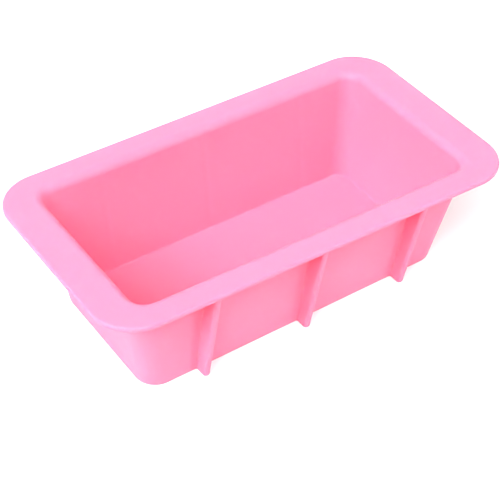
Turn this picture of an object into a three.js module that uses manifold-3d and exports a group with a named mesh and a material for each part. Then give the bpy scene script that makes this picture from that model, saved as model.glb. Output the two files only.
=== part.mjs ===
// Silicone loaf mould for casting soap. Millimetres, +Z up, +X along the loaf, -Y the front.
// The origin is the middle of the underside, so the mould stands on Z = 0.
//
// The mould is one flexible moulding: a tapered tray whose walls bend over into a flat rim,
// stiffened by three ribs on each long side. It is divided here into the members that it is
// made of, each a solid of its own, with a small gap where one member runs on into the next.

import * as THREE from "three";
import { mergeVertices } from "three/addons/utils/BufferGeometryUtils.js";
import Module from "manifold-3d";

// Driving dimensions

const HEIGHT = 69;
const DRAFT = THREE.MathUtils.degToRad(7.9);
const THICKNESS = 3.2;

const BASE_LENGTH = 194;
const BASE_WIDTH = 90;
const BASE_CORNER_RADIUS = 12;
const BASE_EDGE_RADIUS = 1.5;

const RIM_LENGTH = 250;
const RIM_WIDTH = 134;
const RIM_CORNER_RADIUS = 24.5;
const RIM_EDGE_RADIUS = 1.2;
const MOUTH_BEND_RADIUS = 5.2;

const RIB_SPACING = 65;
const RIB_THICKNESS = 4;
const RIB_FOOT_DEPTH = 7.3;
const RIB_NOSE_DRAFT = THREE.MathUtils.degToRad(10.2);
const RIB_ROOT_FILLET = 1.2;
const RIB_NOSE_RADIUS = 1.8;

const MEMBER_GAP = 0.3;
const ARC_SEGMENTS = 5;
const BEND_SEGMENTS = 5;
const SILICONE_PINK = 0xfb9dc4;

// Dimensions that follow from them

const RIM_UNDERSIDE = HEIGHT - THICKNESS;
const BEND_START = HEIGHT - MOUTH_BEND_RADIUS;
const BEND_LEAN = lean(BEND_START);
const UNDERSIDE_BEND_RADIUS = MOUTH_BEND_RADIUS - THICKNESS;

// How far a drafted wall has moved outward at a height z.
function lean(z) {
  return z * Math.tan(DRAFT);
}

// A rectangle with round corners, centred on the origin, and grown on every side by an inset
// below zero or shrunk by one above zero. Its corner radius changes with it.
function roundedRectangle(length, width, radius, inset = 0) {
  const arc = radius - inset;
  const x = length / 2 - radius;
  const y = width / 2 - radius;
  const quarter = Math.PI / 2;
  const outline = new THREE.Shape();
  outline.absarc(x, y, arc, 0, quarter);
  outline.absarc(-x, y, arc, quarter, 2 * quarter);
  outline.absarc(-x, -y, arc, 2 * quarter, 3 * quarter);
  outline.absarc(x, -y, arc, 3 * quarter, 4 * quarter);
  outline.closePath();
  return outline;
}

// An outline extruded upward from z, its height including the round edges at its two ends.
function extruded(outline, z, height, edgeRadius = 0) {
  const geometry = new THREE.ExtrudeGeometry(outline, {
    depth: height - 2 * edgeRadius,
    steps: 1,
    curveSegments: ARC_SEGMENTS,
    bevelEnabled: edgeRadius > 0,
    bevelThickness: edgeRadius,
    bevelSize: edgeRadius,
    bevelOffset: -edgeRadius,
    bevelSegments: 4,
  });
  return geometry.translate(0, 0, z + edgeRadius);
}

// An upright plug that flares outward at its top, so that its side meets the plane of its top
// in a quarter circle. The outline is that of the plug below the flare.
function flaredPlug(outline, top, flareRadius) {
  const geometry = new THREE.ExtrudeGeometry(outline, {
    depth: HEIGHT,
    steps: 1,
    curveSegments: ARC_SEGMENTS,
    bevelThickness: flareRadius,
    bevelSize: -flareRadius,
    bevelOffset: flareRadius,
    bevelSegments: BEND_SEGMENTS,
  });
  return geometry.translate(0, 0, top - HEIGHT - flareRadius);
}

// Leans a geometry outward with height on every side, as the draft of the mould does.
function drafted(geometry) {
  const place = geometry.attributes.position;
  for (let i = 0; i < place.count; i += 1) {
    const shift = lean(place.getZ(i));
    place.setX(i, place.getX(i) + Math.sign(place.getX(i)) * shift);
    place.setY(i, place.getY(i) + Math.sign(place.getY(i)) * shift);
  }
  return geometry;
}

// A box between two corners.
function block(low, high) {
  const size = high.map((value, axis) => value - low[axis]);
  const middle = high.map((value, axis) => (value + low[axis]) / 2);
  return new THREE.BoxGeometry(...size).translate(...middle);
}

// A slab between two heights, wider than the whole mould.
function slab(zLow, zHigh) {
  return block([-RIM_LENGTH, -RIM_WIDTH, zLow], [RIM_LENGTH, RIM_WIDTH, zHigh]);
}

// Solids for cutting and joining, and the way back from one to a geometry

const manifold = await Module();
manifold.setup();

function solid(geometry) {
  const bare = geometry.clone();
  bare.deleteAttribute("normal");
  bare.deleteAttribute("uv");
  const merged = mergeVertices(bare, 1e-4);
  return new manifold.Manifold(
    new manifold.Mesh({
      numProp: 3,
      vertProperties: new Float32Array(merged.attributes.position.array),
      triVerts: new Uint32Array(merged.index.array),
    }),
  );
}

function geometryOf(cut) {
  const mesh = cut.getMesh();
  const geometry = new THREE.BufferGeometry();
  geometry.setAttribute("position", new THREE.BufferAttribute(mesh.vertProperties, 3));
  geometry.setIndex(new THREE.BufferAttribute(mesh.triVerts, 1));
  const faceted = geometry.toNonIndexed();
  faceted.computeVertexNormals();
  return faceted;
}

// The tray: a drafted body with a round bottom edge

function trayBody() {
  const outline = roundedRectangle(BASE_LENGTH, BASE_WIDTH, BASE_CORNER_RADIUS);
  return solid(drafted(extruded(outline, 0, HEIGHT, BASE_EDGE_RADIUS)));
}

function trayCavity() {
  const outline = roundedRectangle(BASE_LENGTH, BASE_WIDTH, BASE_CORNER_RADIUS, THICKNESS);
  return solid(drafted(extruded(outline, 0, HEIGHT)));
}

// The rim: a flat plate, and the bend that joins it to the tops of the walls. The bend has the
// mouth's radius on its cavity side, and that less the thickness on its underside.

function bendOutline(inset) {
  const length = BASE_LENGTH + 2 * BEND_LEAN;
  const width = BASE_WIDTH + 2 * BEND_LEAN;
  return roundedRectangle(length, width, BASE_CORNER_RADIUS, inset);
}

function rimWithBend() {
  const outline = roundedRectangle(RIM_LENGTH, RIM_WIDTH, RIM_CORNER_RADIUS);
  const plate = solid(extruded(outline, RIM_UNDERSIDE, THICKNESS, RIM_EDGE_RADIUS));
  const outside = solid(flaredPlug(bendOutline(0), RIM_UNDERSIDE, UNDERSIDE_BEND_RADIUS));
  const mouth = solid(flaredPlug(bendOutline(THICKNESS), HEIGHT, MOUTH_BEND_RADIUS));
  const bend = outside.intersect(solid(slab(BEND_START, HEIGHT)));
  return plate.add(bend).subtract(mouth);
}

// A rib: a plate that stands out from the front wall, with a fillet on each side of its root
// and a round nose. Its root follows the wall, its nose leans out a little more than the wall,
// and it ends just under the rim.

function ribSection() {
  const half = RIB_THICKNESS / 2;
  const fillet = RIB_ROOT_FILLET;
  const nose = RIB_NOSE_RADIUS;
  const quarter = Math.PI / 2;
  const section = new THREE.Shape();
  section.moveTo(half + fillet, 0);
  section.lineTo(-half - fillet, 0);
  section.absarc(-half - fillet, -fillet, fillet, quarter, 0, true);
  section.absarc(-half + nose, nose - RIB_FOOT_DEPTH, nose, 2 * quarter, 3 * quarter);
  section.absarc(half - nose, nose - RIB_FOOT_DEPTH, nose, 3 * quarter, 4 * quarter);
  section.absarc(half + fillet, -fillet, fillet, 2 * quarter, quarter, true);
  return section;
}

// How far the nose of a rib stands out from the wall at a height z.
function ribDepth(z) {
  return RIB_FOOT_DEPTH + z * (Math.tan(RIB_NOSE_DRAFT) - Math.tan(DRAFT));
}

function frontRib(x) {
  const upright = extruded(ribSection(), 0, RIM_UNDERSIDE - MEMBER_GAP);
  const place = upright.attributes.position;
  for (let i = 0; i < place.count; i += 1) {
    const z = place.getZ(i);
    const outward = (place.getY(i) * ribDepth(z)) / RIB_FOOT_DEPTH;
    place.setY(i, outward - lean(z));
  }
  upright.translate(x, -BASE_WIDTH / 2 - MEMBER_GAP, 0);
  const bendRoom = flaredPlug(
    bendOutline(-MEMBER_GAP),
    RIM_UNDERSIDE - MEMBER_GAP,
    UNDERSIDE_BEND_RADIUS,
  );
  const upperPart = solid(slab(BEND_START - MEMBER_GAP, HEIGHT));
  return geometryOf(solid(upright).subtract(solid(bendRoom).intersect(upperPart)));
}

// Members of the mould

const mould = new THREE.Group();

function addMember(name, geometry) {
  const silicone = new THREE.MeshStandardMaterial({
    color: SILICONE_PINK,
    roughness: 0.45,
    metalness: 0,
  });
  const member = new THREE.Mesh(geometry, silicone);
  member.name = name;
  mould.add(member);
  return member;
}

// Three spans along an axis: the low end, the middle and the high end, parted by small gaps.
function spans(middleHalf, reach) {
  const gap = MEMBER_GAP / 2;
  return [
    [-reach, -middleHalf - gap],
    [-middleHalf + gap, middleHalf - gap],
    [middleHalf + gap, reach],
  ];
}

// Cuts a ring into its four sides and four corners. The sides end where the corner arcs begin,
// at arcX and arcY, and shape turns an upright cutting block into one that follows the ring.
function addRing(ring, names, arcX, arcY, shape = (sector) => sector) {
  spans(arcX, RIM_LENGTH).forEach(([xLow, xHigh], column) => {
    spans(arcY, RIM_WIDTH).forEach(([yLow, yHigh], row) => {
      const name = names[row][column];
      if (name) {
        const sector = shape(block([xLow, yLow, 0], [xHigh, yHigh, 2 * HEIGHT]));
        addMember(name, geometryOf(ring.intersect(solid(sector))));
      }
    });
  });
}

const tray = trayBody();
addMember("floor_panel", geometryOf(tray.intersect(solid(slab(0, THICKNESS)))));

const wallHeights = slab(THICKNESS + MEMBER_GAP, BEND_START - MEMBER_GAP);
addRing(
  tray.subtract(trayCavity()).intersect(solid(wallHeights)),
  [
    ["corner_front_left", "front_wall", "corner_front_right"],
    ["left_end_wall", null, "right_end_wall"],
    ["corner_back_left", "back_wall", "corner_back_right"],
  ],
  BASE_LENGTH / 2 - BASE_CORNER_RADIUS,
  BASE_WIDTH / 2 - BASE_CORNER_RADIUS,
  drafted,
);

addRing(
  rimWithBend(),
  [
    ["rim_corner_front_left", "rim_front", "rim_corner_front_right"],
    ["rim_left_end", null, "rim_right_end"],
    ["rim_corner_back_left", "rim_back", "rim_corner_back_right"],
  ],
  BASE_LENGTH / 2 + BEND_LEAN - BASE_CORNER_RADIUS,
  BASE_WIDTH / 2 + BEND_LEAN - BASE_CORNER_RADIUS,
);

["left", "centre", "right"].forEach((place, index) => {
  const x = (index - 1) * RIB_SPACING;
  addMember(`rib_front_${place}`, frontRib(x));
  const back = addMember(`rib_back_${place}`, frontRib(-x));
  back.rotation.z = Math.PI;
});

export default mould;
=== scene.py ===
"""Soap loaf mould: one seamless silicone moulding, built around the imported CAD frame.

Metres, +Z up, +X along the loaf, -Y the front. The mould stands on Z = 0.
"""

import math

import bmesh
import bpy
import numpy as np
from mathutils import Matrix, Vector


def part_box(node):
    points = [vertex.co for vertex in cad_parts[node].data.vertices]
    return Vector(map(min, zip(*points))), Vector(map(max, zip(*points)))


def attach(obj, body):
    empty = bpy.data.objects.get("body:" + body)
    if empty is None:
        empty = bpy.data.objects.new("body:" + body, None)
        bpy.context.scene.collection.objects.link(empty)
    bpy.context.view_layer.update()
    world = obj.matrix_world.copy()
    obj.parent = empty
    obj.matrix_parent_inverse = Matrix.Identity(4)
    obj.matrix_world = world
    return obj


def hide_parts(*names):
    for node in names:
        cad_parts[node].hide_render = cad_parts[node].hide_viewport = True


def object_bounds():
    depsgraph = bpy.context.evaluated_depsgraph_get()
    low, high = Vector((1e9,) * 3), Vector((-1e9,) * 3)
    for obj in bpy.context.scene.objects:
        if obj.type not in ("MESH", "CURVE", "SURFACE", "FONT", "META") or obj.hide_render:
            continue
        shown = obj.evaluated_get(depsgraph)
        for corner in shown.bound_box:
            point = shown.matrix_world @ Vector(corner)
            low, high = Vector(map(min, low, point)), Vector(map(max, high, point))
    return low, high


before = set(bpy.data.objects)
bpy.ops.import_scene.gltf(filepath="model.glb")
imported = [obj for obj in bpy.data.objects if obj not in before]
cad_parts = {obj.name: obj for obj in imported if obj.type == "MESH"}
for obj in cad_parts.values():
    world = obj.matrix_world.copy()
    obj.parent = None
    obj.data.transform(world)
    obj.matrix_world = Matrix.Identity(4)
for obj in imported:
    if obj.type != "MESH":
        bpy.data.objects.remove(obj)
cad_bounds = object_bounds()

MM = 0.001

# ---------------------------------------------------------------- sizes of the CAD model

# The first three repeat the CAD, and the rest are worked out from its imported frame.
DRAFT = math.radians(7.9)
BASE_CORNER_RADIUS = 12 * MM
RIM_CORNER_RADIUS = 24.5 * MM

RIM_HALF_X, RIM_HALF_Y, HEIGHT = cad_bounds[1]
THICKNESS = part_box("floor_panel")[1].z
RIM_UNDERSIDE = HEIGHT - THICKNESS


def lean(z):
    """How far a wall has moved outward at a height z."""
    return z * math.tan(DRAFT)


wall_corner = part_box("corner_back_right")[1]
BASE_HALF_X = wall_corner.x - lean(wall_corner.z)
BASE_HALF_Y = wall_corner.y - lean(wall_corner.z)

# ---------------------------------------------------------------- sizes of the fine surface

FLOOR_FILLET = 1.1 * MM
MOUTH_BEND = 4.5 * MM
RIM_EDGE = 1.15 * MM
UNDERSIDE_BEND = 1.8 * MM
BASE_EDGE = 1.5 * MM

RIB_HALF_THICKNESS = 2.0 * MM
RIB_FOOT_DEPTH = 7.3 * MM
RIB_NOSE_DRAFT = math.radians(10.2)
RIB_FLARE = math.tan(RIB_NOSE_DRAFT) - math.tan(DRAFT)
RIB_ROOT_FILLET = 1.0 * MM
RIB_NOSE = 1.8 * MM
RIB_TOP_FILLET = 0.8 * MM
RIB_FOOT_EDGE = 1.1 * MM

# Where an outline has no ribs, a rib's points are spread this far to each side of its middle.
RIB_ROOM = 5 * MM
RIB_FOOT_ROOM = 0.7 * MM

# How far in from the edge of the base the underside has a ring without ribs.
UNDERSIDE_INSET = 4.5 * MM

SINK_DEPTH = 0.18 * MM
SINK_WIDTH = 2.2 * MM

# Points in each stretch of an outline.
GAP_POINTS = 12
END_POINTS = 16
CORNER_POINTS = 16
ARC_POINTS = 6

# Rows of points over each stretch of the surface, from the floor to the underside.
FLOOR_ROWS = 12
WALL_ROWS = 16
MOUTH_BEND_ROWS = 12
RIM_TOP_ROWS = 7
RIM_EDGE_ROWS = 2
RIM_UNDERSIDE_ROWS = 5
UNDERSIDE_BEND_ROWS = 8
BASE_RING_ROWS = 3
UNDERSIDE_ROWS = 8
ROUND_EDGE_ROWS = 7

# Points closer than this are the same point.
MERGE_DISTANCE = 0.001 * MM

rib_boxes = [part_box(f"rib_front_{place}") for place in ("left", "centre", "right")]
RIB_PLACES = [(low.x + high.x) / 2 for low, high in rib_boxes]


# ---------------------------------------------------------------- outlines of the mould in plan


def rib_section(half, root, nose, depth):
    """Points (along, out) across one rib, from the wall on one side to the wall on the other."""
    turn = np.linspace(0, math.pi / 2, ARC_POINTS)
    root_arc = np.c_[-half - root + root * np.sin(turn), root - root * np.cos(turn)]
    side = np.linspace(root, depth - nose, ARC_POINTS)[1:-1]
    side_line = np.c_[np.full(len(side), -half), side]
    nose_arc = np.c_[-half + nose - nose * np.cos(turn), depth - nose + nose * np.sin(turn)]
    one_side = np.vstack([root_arc, side_line, nose_arc])
    return np.vstack([one_side, one_side[::-1] * (-1, 1)])


SECTION_POINTS = len(rib_section(RIB_HALF_THICKNESS, RIB_ROOT_FILLET, RIB_NOSE, RIB_FOOT_DEPTH))


def long_side(half_length, rib, sink, room):
    """Points (along, out) of one long side. If rib is given, the ribs stand out of it. If not,
    it has a mark as deep as sink opposite each rib, over points spread room to each side."""
    if rib is None:
        along = np.linspace(-room, room, SECTION_POINTS)
        section = np.c_[along, sink * np.exp(-((along / SINK_WIDTH) ** 2))]
    else:
        section = rib_section(*rib)
    start = -half_length
    points = [(start, 0)]
    for place in RIB_PLACES:
        gap = np.linspace(start, place + section[0, 0], GAP_POINTS + 1)[1:-1]
        points.append(np.c_[gap, np.zeros(len(gap))])
        points.append(section + (place, 0))
        start = place + section[-1, 0]
    gap = np.linspace(start, half_length, GAP_POINTS + 1)[1:]
    points.append(np.c_[gap, np.zeros(len(gap))])
    return np.vstack(points)


def outline(half_x, half_y, radius, z, rib=None, sink=0.0, room=RIB_ROOM):
    """The points of a level outline: a rectangle with round corners, anticlockwise from the left
    end of the front. rib is (half thickness, root fillet, nose radius, depth) or None."""
    side = long_side(half_x - radius, rib, sink, room)
    end = np.linspace(-(half_y - radius), half_y - radius, END_POINTS)
    turn = np.linspace(0, math.pi / 2, CORNER_POINTS + 1)[1:-1]
    arc = radius * np.c_[np.sin(turn), -np.cos(turn)] + (half_x - radius, radius - half_y)
    half_turn = np.vstack([
        np.c_[side[:, 0], -half_y - side[:, 1]],
        arc,
        np.c_[np.full(END_POINTS, half_x), end],
        (arc * (1, -1))[::-1],
    ])
    flat = np.vstack([half_turn, -half_turn])
    return np.c_[flat, np.full(len(flat), z)]


def spine(level):
    """The ridge line that a level outline closes on, like the ridge of a hipped roof."""
    reach = np.abs(level[:, 0]).max() - np.abs(level[:, 1]).max()
    return np.c_[np.clip(level[:, 0], -reach, reach), np.zeros(len(level)), level[:, 2]]


# ---------------------------------------------------------------- rows of points between outlines


def gap_between(a, b):
    """The distance from each point of a to its partner in b, as a column."""
    return np.linalg.norm(b - a, axis=1, keepdims=True)


def towards(a, b, distance):
    """The points that lie a distance from a, on the way to b."""
    return a + (b - a) / gap_between(a, b) * distance


def straight(a, b, steps):
    """Rows from a to b, closer together near both, without the first."""
    shares = (1 - np.cos(np.linspace(0, math.pi, steps + 1)[1:])) / 2
    return [a + (b - a) * share for share in shares]


def rounded(start, corner, end, steps=ROUND_EDGE_ROWS):
    """Rows round a corner on a circular arc, from start to end, without the first."""
    before = (corner - start) / gap_between(start, corner)
    after = (end - corner) / gap_between(corner, end)
    cosine = np.clip((before * after).sum(axis=1, keepdims=True), -1, 1)
    weight = np.sqrt((1 + cosine) / 2)
    rows = []
    for t in np.linspace(0, 1, steps + 1)[1:]:
        parts = ((1 - t) ** 2, 2 * weight * t * (1 - t), t**2)
        total = parts[0] + parts[1] + parts[2]
        rows.append((parts[0] * start + parts[1] * corner + parts[2] * end) / total)
    return rows


# ---------------------------------------------------------------- the moulding


def moulding_rows():
    """Rows of points from the middle of the floor, up the cavity, over the rim and down the
    outside to the middle of the underside."""
    cavity_x = BASE_HALF_X - THICKNESS
    cavity_y = BASE_HALF_Y - THICKNESS
    cavity_radius = BASE_CORNER_RADIUS - THICKNESS
    top_depth = RIB_FOOT_DEPTH + RIM_UNDERSIDE * RIB_FLARE
    rib = (RIB_HALF_THICKNESS, RIB_ROOT_FILLET, RIB_NOSE, top_depth)
    rib_top = (
        RIB_HALF_THICKNESS + RIB_TOP_FILLET,
        RIB_ROOT_FILLET,
        RIB_NOSE + RIB_TOP_FILLET,
        top_depth + RIB_TOP_FILLET - UNDERSIDE_BEND,
    )
    foot = (RIB_HALF_THICKNESS, RIB_ROOT_FILLET, RIB_NOSE, RIB_FOOT_DEPTH)
    rib_foot = (
        RIB_HALF_THICKNESS - RIB_FOOT_EDGE,
        RIB_ROOT_FILLET + RIB_FOOT_EDGE,
        RIB_HALF_THICKNESS - RIB_FOOT_EDGE,
        RIB_FOOT_DEPTH - RIB_FOOT_EDGE + BASE_EDGE,
    )

    def wall(half_x, half_y, radius, z, **features):
        return outline(half_x + lean(z), half_y + lean(z), radius, z, **features)

    floor_corner = wall(cavity_x, cavity_y, cavity_radius, THICKNESS, sink=SINK_DEPTH)
    mouth_corner = wall(cavity_x, cavity_y, cavity_radius, HEIGHT, sink=SINK_DEPTH)
    rim_top = outline(RIM_HALF_X, RIM_HALF_Y, RIM_CORNER_RADIUS, HEIGHT)
    rim_bottom = outline(RIM_HALF_X, RIM_HALF_Y, RIM_CORNER_RADIUS, RIM_UNDERSIDE)
    under_corner = wall(BASE_HALF_X, BASE_HALF_Y, BASE_CORNER_RADIUS, RIM_UNDERSIDE, rib=rib)
    under_start = outline(
        BASE_HALF_X + lean(RIM_UNDERSIDE) + UNDERSIDE_BEND,
        BASE_HALF_Y + lean(RIM_UNDERSIDE) + UNDERSIDE_BEND,
        BASE_CORNER_RADIUS + UNDERSIDE_BEND,
        RIM_UNDERSIDE,
        rib_top,
    )
    base_corner = outline(BASE_HALF_X, BASE_HALF_Y, BASE_CORNER_RADIUS, 0, foot)
    base_end = outline(
        BASE_HALF_X - BASE_EDGE,
        BASE_HALF_Y - BASE_EDGE,
        BASE_CORNER_RADIUS - BASE_EDGE,
        0,
        rib_foot,
    )
    underside_ring = outline(
        BASE_HALF_X - UNDERSIDE_INSET,
        BASE_HALF_Y - UNDERSIDE_INSET,
        BASE_CORNER_RADIUS - UNDERSIDE_INSET,
        0,
        room=RIB_FOOT_ROOM,
    )

    floor_middle = spine(floor_corner)
    floor_end = towards(floor_corner, floor_middle, FLOOR_FILLET)
    wall_start = towards(floor_corner, mouth_corner, FLOOR_FILLET)
    wall_end = towards(mouth_corner, floor_corner, MOUTH_BEND)
    rim_start = towards(mouth_corner, rim_top, MOUTH_BEND)
    rim_end = towards(rim_top, rim_start, RIM_EDGE)
    edge_start = towards(rim_top, rim_bottom, RIM_EDGE)
    edge_end = towards(rim_bottom, rim_top, RIM_EDGE)
    underside = towards(rim_bottom, under_start, RIM_EDGE)
    outside_start = towards(under_corner, base_corner, gap_between(under_start, under_corner))
    outside_end = towards(base_corner, under_corner, gap_between(base_end, base_corner))

    return [
        floor_middle,
        *straight(floor_middle, floor_end, FLOOR_ROWS),
        *rounded(floor_end, floor_corner, wall_start),
        *straight(wall_start, wall_end, WALL_ROWS),
        *rounded(wall_end, mouth_corner, rim_start, MOUTH_BEND_ROWS),
        *straight(rim_start, rim_end, RIM_TOP_ROWS),
        *rounded(rim_end, rim_top, edge_start),
        *straight(edge_start, edge_end, RIM_EDGE_ROWS),
        *rounded(edge_end, rim_bottom, underside),
        *straight(underside, under_start, RIM_UNDERSIDE_ROWS),
        *rounded(under_start, under_corner, outside_start, UNDERSIDE_BEND_ROWS),
        *straight(outside_start, outside_end, WALL_ROWS),
        *rounded(outside_end, base_corner, base_end),
        *straight(base_end, underside_ring, BASE_RING_ROWS),
        *straight(underside_ring, spine(underside_ring), UNDERSIDE_ROWS),
    ]


# How far the top of the soft front wall has settled from straight: in at its left end, and out
# at its right end. It fades out towards the base and the back.
FRONT_LEFT_IN = 2.4 * MM
FRONT_RIGHT_OUT = 2.1 * MM
SETTLING_POWER = 1.3


def settled(points):
    """The points of the moulding after the front wall has relaxed a little."""
    x, y, z = points.T
    rightness = (1 + x / RIM_HALF_X) / 2
    frontness = np.clip((1 - y / RIM_HALF_Y) / 2, 0, 1)
    height = (z / HEIGHT) ** SETTLING_POWER
    shift = FRONT_LEFT_IN * (1 - rightness) - FRONT_RIGHT_OUT * rightness
    return np.c_[x, y + shift * frontness * height, z]


def make_moulding():
    """Joins the rows into one closed mesh. The floor and the underside close on ridge lines,
    where opposite points meet and are merged."""
    rows = np.array(moulding_rows())
    row_count, point_count = rows.shape[:2]
    number = np.arange(row_count * point_count).reshape(row_count, point_count)
    following = np.roll(number, -1, axis=1)
    faces = np.stack([number[:-1], number[1:], following[1:], following[:-1]], axis=-1)
    mesh = bpy.data.meshes.new("silicone_mould")
    mesh.from_pydata(settled(rows.reshape(-1, 3)).tolist(), [], faces.reshape(-1, 4).tolist())
    joined = bmesh.new()
    joined.from_mesh(mesh)
    bmesh.ops.remove_doubles(joined, verts=joined.verts, dist=MERGE_DISTANCE)
    joined.to_mesh(mesh)
    joined.free()
    mesh.shade_smooth()
    mould = bpy.data.objects.new("silicone_mould", mesh)
    bpy.context.scene.collection.objects.link(mould)
    return mould


# ---------------------------------------------------------------- materials

WHITE = (1, 1, 1, 1)

# The middle of a noise's range, where a colour ramp changes.
RAMP_START = 0.3
RAMP_END = 0.7

DEEP_PINK = (0.968, 0.163, 0.272, 1)
PALE_PINK = (0.988, 0.169, 0.280, 1)
SATIN_ROUGHNESS = (0.54, 0.64)
SILICONE_IOR = 1.41
SILICONE_SPECULAR = 0.35
SCATTER_RADIUS = (1.0, 0.22, 0.32)
SCATTER_SCALE = 2.5 * MM

FLOOR_TONE = (0.50, 0.53)
FLOOR_ROUGHNESS = 0.9
FLOOR_GLOW = 0.3


def grey(tone):
    return (tone, tone, tone, 1)


def new_material(name):
    """A new material, with its node tree and its surface shader."""
    material = bpy.data.materials.new(name)
    material.use_nodes = True
    tree = material.node_tree
    return material, tree, tree.nodes["Principled BSDF"]


def noise(tree, scale, detail):
    """3D noise in the object's own coordinates. scale is its features per metre."""
    place = tree.nodes.new("ShaderNodeTexCoord")
    texture = tree.nodes.new("ShaderNodeTexNoise")
    texture.inputs["Scale"].default_value = scale
    texture.inputs["Detail"].default_value = detail
    tree.links.new(place.outputs["Object"], texture.inputs["Vector"])
    return texture.outputs["Fac"]


def ramp(tree, value, low, high):
    """A colour ramp over the middle of a noise's range."""
    node = tree.nodes.new("ShaderNodeValToRGB")
    node.color_ramp.elements[0].position = RAMP_START
    node.color_ramp.elements[0].color = low
    node.color_ramp.elements[1].position = RAMP_END
    node.color_ramp.elements[1].color = high
    tree.links.new(value, node.inputs["Fac"])
    return node.outputs["Color"]


def bump(tree, value, distance, strength, onto=None):
    """A normal disturbed by a noise, on top of another bump's normal if onto is given."""
    node = tree.nodes.new("ShaderNodeBump")
    node.inputs["Distance"].default_value = distance
    node.inputs["Strength"].default_value = strength
    tree.links.new(value, node.inputs["Height"])
    if onto is not None:
        tree.links.new(onto, node.inputs["Normal"])
    return node.outputs["Normal"]


def silicone_material():
    """Pink translucent silicone with a satin face, faint clouding and waves, and fine grain."""
    material, tree, surface = new_material("pink_silicone")
    cloud = noise(tree, scale=14, detail=3)
    colour = ramp(tree, cloud, DEEP_PINK, PALE_PINK)
    tree.links.new(colour, surface.inputs["Base Color"])
    satin = noise(tree, scale=60, detail=4)
    gloss = ramp(tree, satin, *map(grey, SATIN_ROUGHNESS))
    tree.links.new(gloss, surface.inputs["Roughness"])
    wavy = noise(tree, scale=45, detail=2)
    waves = bump(tree, wavy, distance=0.3 * MM, strength=0.15)
    grainy = noise(tree, scale=2600, detail=2)
    grain = bump(tree, grainy, distance=0.02 * MM, strength=0.5, onto=waves)
    tree.links.new(grain, surface.inputs["Normal"])
    surface.inputs["IOR"].default_value = SILICONE_IOR
    surface.inputs["Specular IOR Level"].default_value = SILICONE_SPECULAR
    surface.inputs["Subsurface Weight"].default_value = 1.0
    surface.inputs["Subsurface Radius"].default_value = SCATTER_RADIUS
    surface.inputs["Subsurface Scale"].default_value = SCATTER_SCALE
    return material


def floor_material():
    """A plain pale floor that glows a little, so that shadows on it stay faint."""
    material, tree, surface = new_material("pale_floor")
    patches = noise(tree, scale=3, detail=2)
    tone = ramp(tree, patches, *map(grey, FLOOR_TONE))
    tree.links.new(tone, surface.inputs["Base Color"])
    surface.inputs["Roughness"].default_value = FLOOR_ROUGHNESS
    surface.inputs["Emission Color"].default_value = WHITE
    surface.inputs["Emission Strength"].default_value = FLOOR_GLOW
    return material


# ---------------------------------------------------------------- floor, light and camera

FLOOR_HALF_SIZE = 12.0


def make_floor():
    low, high = -FLOOR_HALF_SIZE, FLOOR_HALF_SIZE
    corners = [(low, low, 0), (high, low, 0), (high, high, 0), (low, high, 0)]
    mesh = bpy.data.meshes.new("floor")
    mesh.from_pydata(corners, [], [(0, 1, 2, 3)])
    floor = bpy.data.objects.new("floor", mesh)
    floor.data.materials.append(floor_material())
    bpy.context.scene.collection.objects.link(floor)


WORLD_STRENGTH = 0.02
LIGHT_DISTANCE = 3.0
LIGHT_AIM = Vector((0, 0, 0.03))


def softbox(name, azimuth, elevation, size, power, distance=LIGHT_DISTANCE):
    """A square area light. Azimuth is in degrees from the front towards the right."""
    data = bpy.data.lights.new(name, "AREA")
    data.shape = "SQUARE"
    data.size = size
    data.energy = power
    around, up = math.radians(azimuth), math.radians(elevation)
    towards_light = Vector((
        math.sin(around) * math.cos(up),
        -math.cos(around) * math.cos(up),
        math.sin(up),
    ))
    lamp = bpy.data.objects.new(name, data)
    lamp.location = LIGHT_AIM + towards_light * distance
    lamp.rotation_euler = towards_light.to_track_quat("Z", "Y").to_euler()
    bpy.context.scene.collection.objects.link(lamp)


def make_light():
    world = bpy.data.worlds.new("studio")
    world.use_nodes = True
    background = world.node_tree.nodes["Background"]
    background.inputs["Color"].default_value = WHITE
    background.inputs["Strength"].default_value = WORLD_STRENGTH
    bpy.context.scene.world = world
    softbox("key_high", azimuth=-68, elevation=46, size=1.5, power=123)
    softbox("key_low", azimuth=-93, elevation=31, size=1.5, power=94)
    softbox("fill_high", azimuth=-30, elevation=60, size=1.5, power=66)
    softbox("fill_front", azimuth=15, elevation=40, size=1.8, power=62)
    softbox("fill_back", azimuth=157, elevation=32, size=3.0, power=51)
    softbox("reflector", azimuth=48, elevation=28, size=0.7, power=3.4, distance=1.1)


CAMERA_AZIMUTH = math.radians(-35.9)
CAMERA_ELEVATION = math.radians(41.84)
CAMERA_ROLL = math.radians(1.8)
CAMERA_DISTANCE = 771.6 * MM
CAMERA_AIM = Vector((-6.5, -5.6, 24.6)) * MM
CAMERA_LENS = 101.4
SENSOR_WIDTH = 36


def make_camera():
    data = bpy.data.cameras.new("camera")
    data.sensor_width = SENSOR_WIDTH
    data.lens = CAMERA_LENS
    camera = bpy.data.objects.new("camera", data)
    back = Vector((
        math.sin(CAMERA_AZIMUTH) * math.cos(CAMERA_ELEVATION),
        -math.cos(CAMERA_AZIMUTH) * math.cos(CAMERA_ELEVATION),
        math.sin(CAMERA_ELEVATION),
    ))
    right = Vector((0, 0, 1)).cross(back).normalized()
    turned = Matrix((right, back.cross(right), back)).transposed()
    turned = turned @ Matrix.Rotation(CAMERA_ROLL, 3, "Z")
    place = Matrix.Translation(CAMERA_AIM + back * CAMERA_DISTANCE)
    camera.matrix_world = place @ turned.to_4x4()
    bpy.context.scene.collection.objects.link(camera)
    bpy.context.scene.camera = camera


# ---------------------------------------------------------------- the scene

make_camera()
make_floor()
make_light()

mould = make_moulding()
mould.data.materials.append(silicone_material())
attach(mould, "root")
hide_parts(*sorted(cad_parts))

view_settings = bpy.context.scene.view_settings
view_settings.view_transform = "Standard"
